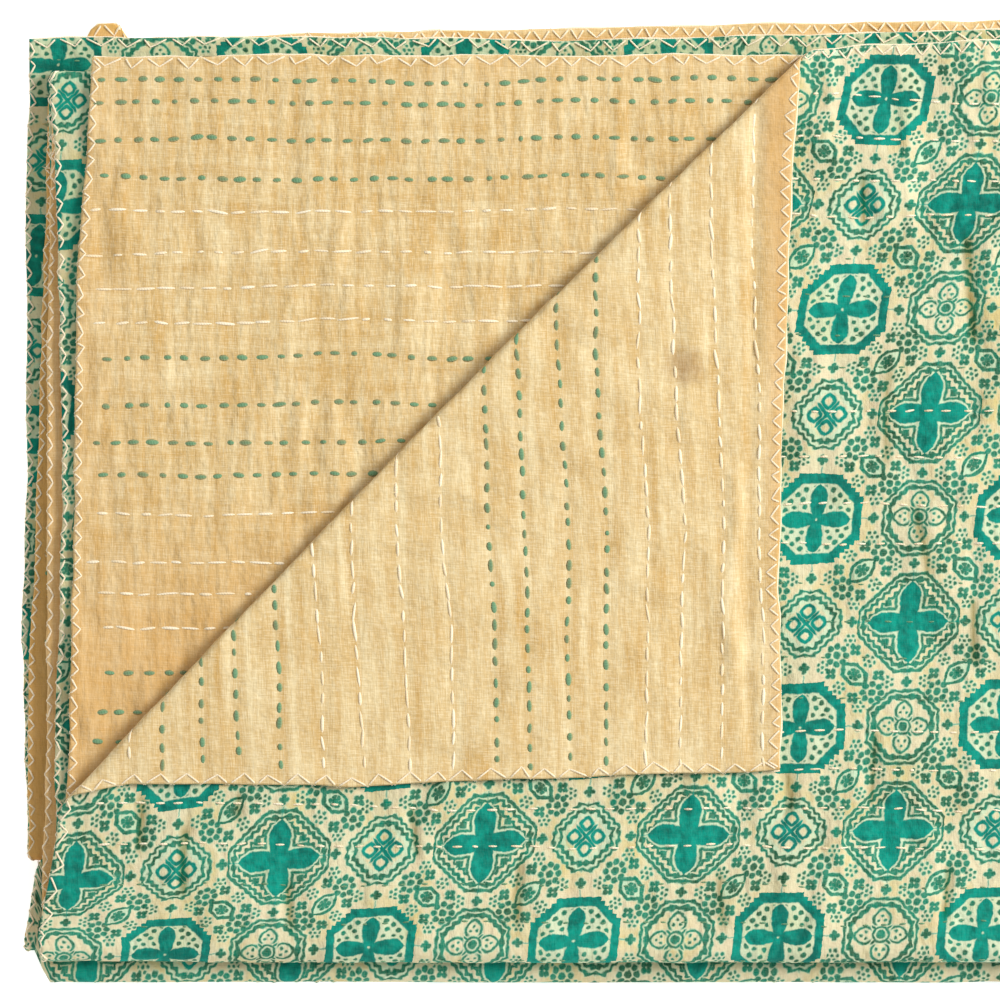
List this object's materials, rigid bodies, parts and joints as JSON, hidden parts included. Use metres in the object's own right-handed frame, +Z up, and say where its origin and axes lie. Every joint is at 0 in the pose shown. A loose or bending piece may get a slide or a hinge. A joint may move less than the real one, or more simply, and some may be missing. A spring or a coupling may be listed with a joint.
{
  "type": "kantha quilt",
  "caption": "Hand-stitched cotton kantha quilt, folded flat into a layered pack, block-printed face outside, golden backing inside, top corner turned back.",
  "frame": {"origin": "on the surface the folded pack lies on, under the centre of its bounding box", "axes": "+Z up, +X along the pack's length from the quilt's side edges to the last fold, +Y across it from the folded front to the free end edges at the back"},
  "size_m": [0.45, 0.319, 0.0239],
  "materials": {
    "printed_cotton": "matte block-printed cotton, green on cream",
    "golden_cotton": "matte plain-woven cotton, golden yellow, uneven hand dye"
  },
  "bodies": {
    "root": {"printed_face": "printed_cotton", "plain_backing": "golden_cotton"}
  },
  "joints": []
}
